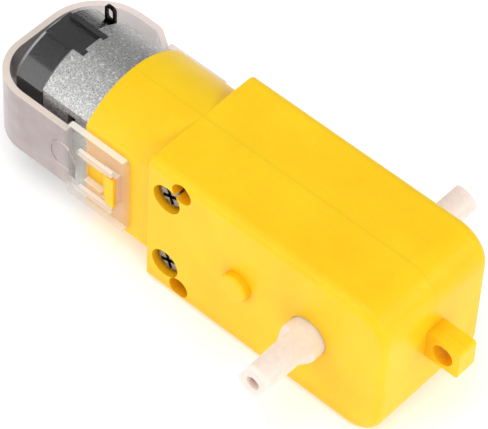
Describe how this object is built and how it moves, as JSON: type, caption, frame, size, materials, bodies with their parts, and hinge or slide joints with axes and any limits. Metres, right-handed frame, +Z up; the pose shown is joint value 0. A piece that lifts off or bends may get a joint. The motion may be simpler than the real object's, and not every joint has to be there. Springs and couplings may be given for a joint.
{
  "type": "geared dc motor",
  "caption": "Right-angle geared dc motor with a two-ended flatted output shaft, a box gearbox with side mounting holes and a front tab, and a strapped-in flat-sided can motor.",
  "frame": {"origin": "on the output shaft's axis, midway between the two sides of the gearbox", "axes": "+X towards the front tab with the motor at -X, Y along the output shaft with the locating boss on the -Y side, +Z up"},
  "size_m": [0.0701, 0.038, 0.022],
  "materials": {
    "case": "semi-gloss moulded plastic with a fine grain",
    "strap": "clear moulded plastic",
    "can": "satin plated steel",
    "cap": "satin black",
    "screw": "bright plated",
    "shaft": "off-white nylon, satin",
    "gear": "white acetal, satin",
    "pinion": "white acetal, satin",
    "terminal": "dull tinned brass",
    "brush": "dull",
    "magnet": "dull ferrite",
    "steel": "ground",
    "bush": "sintered, oily",
    "washer": "satin",
    "core": "stamped sheet",
    "insulator": "satin",
    "winding": "enamelled copper"
  },
  "bodies": {
    "gearbox": {"housing_near": "case", "housing_far": "case", "case_screws": "screw", "retaining_strap": "strap", "motor_can": "can", "end_cap": "cap", "terminals": "terminal", "brushes": "brush", "magnet_upper": "magnet", "magnet_lower": "magnet", "magnet_spring": "steel", "front_bush": "bush", "rear_bush": "bush", "gear_pin": "steel", "gear_washers": "washer"},
    "output": {"output_shaft": "shaft", "output_gear": "gear"},
    "second_gear": {"second_compound_gear": "gear"},
    "idler": {"idler_gear": "gear"},
    "crown_gear": {"face_gear": "gear"},
    "rotor": {"motor_shaft": "steel", "rotor_core": "core", "rotor_insulators": "insulator", "windings": "winding", "commutator_core": "insulator", "commutator_segments": "winding", "rotor_washers": "washer", "motor_pinion": "pinion"}
  },
  "joints": [
    {"name": "output_spin", "type": "hinge", "parent": "gearbox", "child": "output", "pos_m": [0, 0, 0], "axis": [0, 1, 0], "continuous": true},
    {"name": "second_gear_spin", "type": "hinge", "parent": "gearbox", "child": "second_gear", "pos_m": [-0.011, 0, 0], "axis": [0, 1, 0], "continuous": true},
    {"name": "idler_spin", "type": "hinge", "parent": "gearbox", "child": "idler", "pos_m": [0, 0, 0], "axis": [0, 1, 0], "continuous": true},
    {"name": "crown_gear_spin", "type": "hinge", "parent": "gearbox", "child": "crown_gear", "pos_m": [-0.011, 0, 0], "axis": [0, 1, 0], "continuous": true},
    {"name": "rotor_spin", "type": "hinge", "parent": "gearbox", "child": "rotor", "pos_m": [-0.035, 0, 0], "axis": [1, 0, 0], "continuous": true}
  ],
  "couplings": [
    {"joint": "second_gear_spin", "follows": "output_spin", "ratio": -2.6667},
    {"joint": "idler_spin", "follows": "output_spin", "ratio": 4.6667},
    {"joint": "crown_gear_spin", "follows": "output_spin", "ratio": -14},
    {"joint": "rotor_spin", "follows": "output_spin", "ratio": -48}
  ]
}
